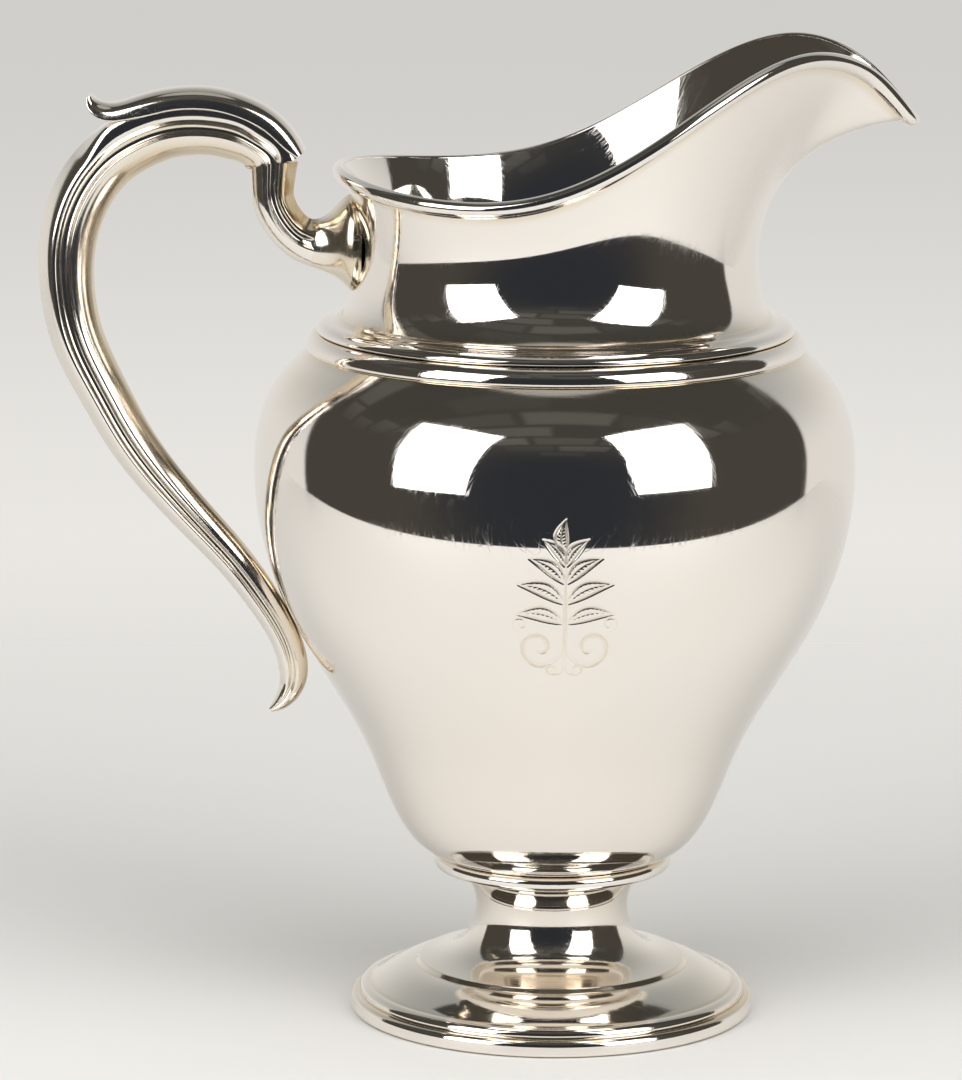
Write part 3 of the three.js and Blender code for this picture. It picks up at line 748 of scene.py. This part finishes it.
def make_cap():
    """Strap over the arch, whose edges hang down over the scroll, ending in the thumb rest."""
    line, out = bar_path(CAP, 160, 7)
    half = softened(np.array([
        (0.5, 0, 0), (0.5, 0.12, 0), (0.44, 0.26, 0.03), (0.26, 0.39, 0.12), (0, 0.475, 0.34),
        (-0.3, 0.505, 0.7), (-0.5, 0.5, 1), (-0.52, 0.475, 0.96), (-0.5, 0.46, 0.5), (-0.5, 0.3, 0.1),
        (-0.5, 0, 0),
    ]))
    rings = []
    for centre, facing in zip(line, out):
        depth, width, hang = centre[2:]
        section = np.column_stack([half[:, 0] * depth - half[:, 2] * hang, half[:, 1] * width])
        section = np.vstack([section, section[-2:0:-1] * (1, -1)])
        rings.append(bar_ring(centre, facing, section))
    points, faces = skin(rings, around=True, caps=True)
    thing = piece("handle_thumb_cap", points, faces, HANDLE, np.full(len(points), 0.12), sharp=50)
    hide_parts("handle_cap")


make_foot()
make_bowl()
make_shoulder()
make_neck()
make_scroll()
make_branch()
make_cap()


# ---------------------------------------------------------------- studio

TABLE_FRONT = -0.44  # nearest point of the table's front edge
TABLE_BOW = 0.85  # how fast that edge falls back to the sides
FLOOR_SIZE = 3.0

# Directions from the pitcher, and the colours seen there.
UP = (0, 0, 1)
TO_CAMERA = (0, -1, 0)
TO_BACKDROP = (0, 0.985, -0.174)
TO_CARD = (0, 0.2, 0.98)
BACKDROP_LOW = (0.83, 0.81, 0.775)
BACKDROP_HIGH = (0.63, 0.62, 0.595)
PALE = (0.77, 0.755, 0.725)
PALE_HIGH = (0.33, 0.345, 0.34)
CARD = (0.42, 0.41, 0.385)
WALL_MIDDLE = (0.026, 0.029, 0.035)
WALL_SIDE = (0.062, 0.056, 0.047)
CEILING = (0.055, 0.054, 0.048)
CEILING_PANEL = (0.2, 0.197, 0.18)


def floor_material():
    """Matt pale table top that fades into the backdrop: behind the pitcher, and all
    round where it is looked at directly."""
    material = bpy.data.materials.new("pale_floor")
    material.use_nodes = True
    nodes, links = material.node_tree.nodes, material.node_tree.links
    shader = nodes["Principled BSDF"]
    shader.inputs["Base Color"].default_value = (0.80, 0.79, 0.765, 1)
    shader.inputs["Roughness"].default_value = 0.6
    shader.inputs["Specular IOR Level"].default_value = 0.1
    place = nodes.new("ShaderNodeTexCoord")
    parts = nodes.new("ShaderNodeSeparateXYZ")
    links.new(place.outputs["Object"], parts.inputs[0])
    length = nodes.new("ShaderNodeVectorMath")
    length.operation = "LENGTH"
    links.new(place.outputs["Object"], length.inputs[0])

    def fade(distance, start, end):
        """0 up to a distance, then smoothly to 1."""
        node = nodes.new("ShaderNodeMapRange")
        node.interpolation_type = "SMOOTHSTEP"
        node.inputs["From Min"].default_value = start
        node.inputs["From Max"].default_value = end
        links.new(distance, node.inputs["Value"])
        return node.outputs["Result"]

    def combined(operation, first, second):
        """Result of one operation on two sockets."""
        node = nodes.new("ShaderNodeMath")
        node.operation = operation
        links.new(first, node.inputs[0])
        links.new(second, node.inputs[1])
        return node.outputs["Value"]

    behind = fade(parts.outputs["Y"], 0.05, 0.7)
    around = fade(length.outputs["Value"], 0.3, 1.1)
    path = nodes.new("ShaderNodeLightPath")
    direct = combined("MULTIPLY", around, path.outputs["Is Camera Ray"])
    clear = nodes.new("ShaderNodeBsdfTransparent")
    mix = nodes.new("ShaderNodeMixShader")
    links.new(combined("MAXIMUM", behind, direct), mix.inputs["Fac"])
    links.new(shader.outputs["BSDF"], mix.inputs[1])
    links.new(clear.outputs["BSDF"], mix.inputs[2])
    links.new(mix.outputs["Shader"], nodes["Material Output"].inputs["Surface"])
    return material


def floor_strip(name, near_edge, far_edge, material):
    """Flat floor between two edges, each a function from x to y."""
    count = 121
    x = np.linspace(-FLOOR_SIZE, FLOOR_SIZE, count)
    points = [(a, near_edge(a), -0.0002) for a in x] + [(a, far_edge(a), -0.0002) for a in x]
    faces = [(i, i + 1, count + i + 1, count + i) for i in range(count - 1)]
    mesh = bpy.data.meshes.new(name)
    mesh.from_pydata(points, [], faces)
    mesh.materials.append(material)
    strip = bpy.data.objects.new(name, mesh)
    bpy.context.scene.collection.objects.link(strip)
    return strip


def make_floor():
    """Table top that the silver mirrors, and the same floor in front of it for the camera only."""
    material = floor_material()

    def table_edge(x):
        """Front edge of the table, which falls back to the sides."""
        return min(TABLE_FRONT + TABLE_BOW * x * x, FLOOR_SIZE - 0.01)

    floor_strip("table", table_edge, lambda x: FLOOR_SIZE, material)
    front = floor_strip("floor_in_front", lambda x: -FLOOR_SIZE, table_edge, material)
    front.visible_glossy = False
    front.visible_diffuse = False


def make_world():
    """Pale backdrop all round for the camera. What the silver mirrors is a studio: a pale backdrop
    behind the pitcher and a dark room on the photographer's side."""
    world = bpy.data.worlds.new("studio")
    bpy.context.scene.world = world
    world.use_nodes = True
    nodes, links = world.node_tree.nodes, world.node_tree.links
    nodes.clear()
    output = nodes.new("ShaderNodeOutputWorld")
    place = nodes.new("ShaderNodeTexCoord")
    direction = place.outputs["Generated"]

    def along(axis, low, high):
        """How far a direction leans towards an axis, eased from 0 to 1."""
        dot = nodes.new("ShaderNodeVectorMath")
        dot.operation = "DOT_PRODUCT"
        dot.inputs[1].default_value = axis
        links.new(direction, dot.inputs[0])
        step = nodes.new("ShaderNodeMapRange")
        step.interpolation_type = "SMOOTHSTEP"
        step.inputs["From Min"].default_value = low
        step.inputs["From Max"].default_value = high
        links.new(dot.outputs["Value"], step.inputs["Value"])
        return step.outputs["Result"]

    def blend(factor, first, second):
        """Mix of two colours, each fixed or from a socket."""
        mix = nodes.new("ShaderNodeMix")
        mix.data_type = "RGBA"
        links.new(factor, mix.inputs["Factor"])
        for socket, value in (("A", first), ("B", second)):
            if isinstance(value, tuple):
                mix.inputs[socket].default_value = (*value, 1)
            else:
                links.new(value, mix.inputs[socket])
        return mix.outputs["Result"]

    def tiles(coordinates, scale, dark, light):
        """Blocks of slightly different greys, like ceiling panels or furniture."""
        bricks = nodes.new("ShaderNodeTexBrick")
        bricks.offset = 0.37
        bricks.inputs["Scale"].default_value = scale
        bricks.inputs["Color1"].default_value = (*dark, 1)
        bricks.inputs["Color2"].default_value = (*light, 1)
        bricks.inputs["Mortar"].default_value = (*dark, 1)
        bricks.inputs["Mortar Size"].default_value = 0.05
        bricks.inputs["Mortar Smooth"].default_value = 0.9
        bricks.inputs["Bias"].default_value = -0.55
        links.new(coordinates, bricks.inputs["Vector"])
        return bricks.outputs["Color"]

    parts = nodes.new("ShaderNodeSeparateXYZ")
    links.new(direction, parts.inputs[0])

    def seen_on(divisor, first, second):
        """Coordinates on the ceiling or wall in the looking direction."""
        depth = nodes.new("ShaderNodeMath")
        depth.operation = "MAXIMUM"
        links.new(parts.outputs[divisor], depth.inputs[0])
        depth.inputs[1].default_value = 0.05
        join = nodes.new("ShaderNodeCombineXYZ")
        for socket, source in (("X", first), ("Y", second)):
            share = nodes.new("ShaderNodeMath")
            share.operation = "DIVIDE"
            links.new(parts.outputs[source], share.inputs[0])
            links.new(depth.outputs["Value"], share.inputs[1])
            links.new(share.outputs["Value"], join.inputs[socket])
        return join.outputs["Vector"]

    backdrop = blend(along(UP, -0.2, -0.1), BACKDROP_LOW, BACKDROP_HIGH)
    ceiling = tiles(seen_on("Z", "X", "Y"), 0.9, CEILING, CEILING_PANEL)
    wall = blend(along(TO_CAMERA, 0.45, 0.97), WALL_SIDE, WALL_MIDDLE)
    room = blend(along(UP, 0.42, 0.75), wall, ceiling)
    sweep = blend(along(UP, 0.0, 0.85), PALE, PALE_HIGH)
    card = blend(along(TO_CARD, 0.952, 0.964), room, CARD)
    mirrored = blend(along(TO_BACKDROP, 0.33, 0.37), card, sweep)
    path = nodes.new("ShaderNodeLightPath")
    colour = blend(path.outputs["Is Camera Ray"], mirrored, backdrop)
    background = nodes.new("ShaderNodeBackground")
    links.new(colour, background.inputs["Color"])
    links.new(background.outputs["Background"], output.inputs["Surface"])


AIM_HEIGHT = 0.14  # of the point that the lights face


def softbox(name, azimuth, elevation, distance, width, height, strength):
    """Rectangular light facing the pitcher; azimuth is measured from the camera's side."""
    lamp = bpy.data.lights.new(name, "AREA")
    lamp.shape = "RECTANGLE"
    lamp.size = width
    lamp.size_y = height
    lamp.energy = strength * math.pi * width * height
    thing = bpy.data.objects.new(name, lamp)
    bpy.context.scene.collection.objects.link(thing)
    a, e = math.radians(azimuth), math.radians(elevation)
    spot = Vector((math.sin(a) * math.cos(e), -math.cos(a) * math.cos(e), math.sin(e))) * distance
    aim = Vector((AXIS_X, 0, AIM_HEIGHT))
    thing.location = aim + spot
    thing.rotation_euler = (-spot).to_track_quat("-Z", "Y").to_euler()
    thing.visible_camera = False
    return thing


def make_lights():
    """Two soft boxes that the silver mirrors, and a bank overhead that it doesn't."""
    bank = softbox("overhead_bank", 0, 68, 2.3, 3.4, 2.6, 1.5)
    bank.visible_glossy = False
    softbox("softbox_left", -48, 24.5, 1.7, 0.95, 1.55, 3.4)
    softbox("softbox_right", 45, 25.5, 1.7, 0.95, 1.55, 3.4)


CAMERA_PLACE = (AXIS_X - 0.01908, -1.5, 0.4128)
CAMERA_TILT = math.radians(90 - 10.863)
CAMERA_ROLL = math.radians(0.228)


def make_camera():
    """Long lens, just above the pitcher and tilted down a little."""
    camera = bpy.data.cameras.new("camera")
    camera.lens = 195
    camera.clip_end = 50
    thing = bpy.data.objects.new("camera", camera)
    bpy.context.scene.collection.objects.link(thing)
    tilt = Matrix.Rotation(CAMERA_TILT, 4, "X")
    roll = Matrix.Rotation(CAMERA_ROLL, 4, "Z")
    thing.matrix_world = Matrix.Translation(CAMERA_PLACE) @ tilt @ roll
    bpy.context.scene.camera = thing


make_floor()
make_world()
make_lights()
make_camera()
bpy.context.scene.view_settings.view_transform = "Standard"
